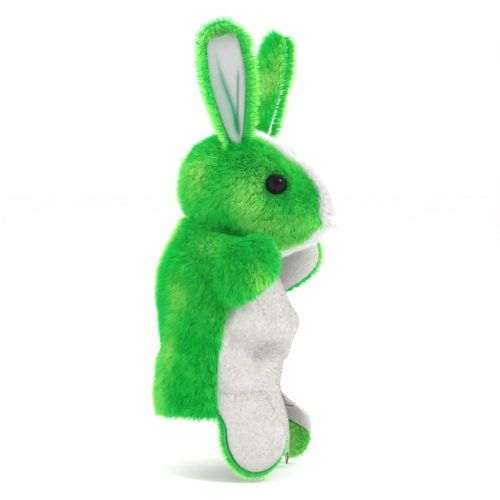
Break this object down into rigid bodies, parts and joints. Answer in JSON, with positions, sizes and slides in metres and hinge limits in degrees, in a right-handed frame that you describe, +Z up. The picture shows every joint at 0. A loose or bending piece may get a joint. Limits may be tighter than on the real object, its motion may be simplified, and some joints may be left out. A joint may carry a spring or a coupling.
{
  "type": "moving mouth hand puppet",
  "caption": "Plush rabbit glove puppet in bright green and white: folding mouth worked from inside, nodding head, soft upright ears, stuffed arms and legs, open base for the hand.",
  "frame": {"origin": "middle of the hand opening, level with its lowest hem", "axes": "+X to the puppet's left, -Y the way it faces, +Z up the body to the ears"},
  "size_m": [0.1288, 0.1299, 0.3185],
  "materials": {
    "green_plush": "long green polyester plush, 8 to 10 mm pile, brushed",
    "white_plush": "white polyester plush, 6 mm pile",
    "white_velboa": "short white velboa, 2 mm pile",
    "ear_satin": "grey-white polyester satin",
    "hem_overlock": "raw edge with pale green overlock stitches",
    "lining_fabric": "thin white knitted lining",
    "mouth_felt": "red polyester felt",
    "mouth_board": "stiff board, matt",
    "stuffing": "loose polyester fibre",
    "eye_black": "polished black plastic",
    "washer_plastic": "moulded white plastic"
  },
  "bodies": {
    "body": {"back_panel": "green_plush", "belly_panel": "white_velboa", "front_hem": "hem_overlock", "neck_sleeve": "lining_fabric"},
    "head": {"head_right": "green_plush", "head_left": "green_plush", "blaze": "white_plush", "head_stuffing": "stuffing", "muzzle_stuffing": "stuffing", "upper_mouth_plate": "mouth_board", "upper_mouth_lining": "mouth_felt", "finger_pocket": "lining_fabric", "eye_right": "eye_black", "eye_left": "eye_black", "eye_washers": "washer_plastic"},
    "jaw": {"jaw_right": "green_plush", "jaw_left": "green_plush", "chin": "white_plush", "lower_mouth_plate": "mouth_board", "lower_mouth_lining": "mouth_felt", "thumb_pocket": "lining_fabric"},
    "ear_right": {"ear_back_right": "green_plush", "ear_lining_right": "ear_satin"},
    "ear_left": {"ear_back_left": "green_plush", "ear_lining_left": "ear_satin"},
    "arm_right": {"arm_outer_right": "green_plush", "arm_inner_right": "white_velboa", "arm_stuffing_right": "stuffing"},
    "arm_left": {"arm_outer_left": "green_plush", "arm_inner_left": "white_velboa", "arm_stuffing_left": "stuffing"},
    "leg_right": {"leg_front_right": "white_velboa", "leg_back_right": "green_plush", "leg_stuffing_right": "stuffing"},
    "leg_left": {"leg_front_left": "white_velboa", "leg_back_left": "green_plush", "leg_stuffing_left": "stuffing"}
  },
  "joints": [
    {"name": "head_nod", "type": "hinge", "parent": "body", "child": "head", "pos_m": [0, -0.008, 0.172], "axis": [-1, 0, 0], "range_deg": [-10, 15], "stiffness_Nm_per_rad": 0.35},
    {"name": "jaw_open", "type": "hinge", "parent": "head", "child": "jaw", "pos_m": [0, -0.044, 0.176], "axis": [1, 0, 0], "range_deg": [0, 30], "stiffness_Nm_per_rad": 0.06, "springref_deg": -8.59},
    {"name": "ear_right_fold", "type": "hinge", "parent": "head", "child": "ear_right", "pos_m": [-0.028, -0.021, 0.245], "axis": [0.5441, -0.8066, 0.2309], "range_deg": [-12, 40], "stiffness_Nm_per_rad": 0.03},
    {"name": "ear_left_fold", "type": "hinge", "parent": "head", "child": "ear_left", "pos_m": [0.028, -0.021, 0.245], "axis": [0.5441, 0.8066, -0.2309], "range_deg": [-12, 40], "stiffness_Nm_per_rad": 0.03},
    {"name": "arm_right_spread", "type": "hinge", "parent": "body", "child": "arm_right", "pos_m": [-0.0455, -0.029, 0.151], "axis": [0, 0, -1], "range_deg": [-8, 60], "stiffness_Nm_per_rad": 0.03},
    {"name": "arm_left_spread", "type": "hinge", "parent": "body", "child": "arm_left", "pos_m": [0.0455, -0.029, 0.151], "axis": [0, 0, 1], "range_deg": [-8, 60], "stiffness_Nm_per_rad": 0.03},
    {"name": "leg_right_swing", "type": "hinge", "parent": "body", "child": "leg_right", "pos_m": [-0.036, -0.038, 0.058], "axis": [-0.4695, 0.8829, 0], "range_deg": [0, 40], "stiffness_Nm_per_rad": 0.03},
    {"name": "leg_left_swing", "type": "hinge", "parent": "body", "child": "leg_left", "pos_m": [0.036, -0.038, 0.058], "axis": [-0.4695, -0.8829, 0], "range_deg": [0, 40], "stiffness_Nm_per_rad": 0.03}
  ]
}
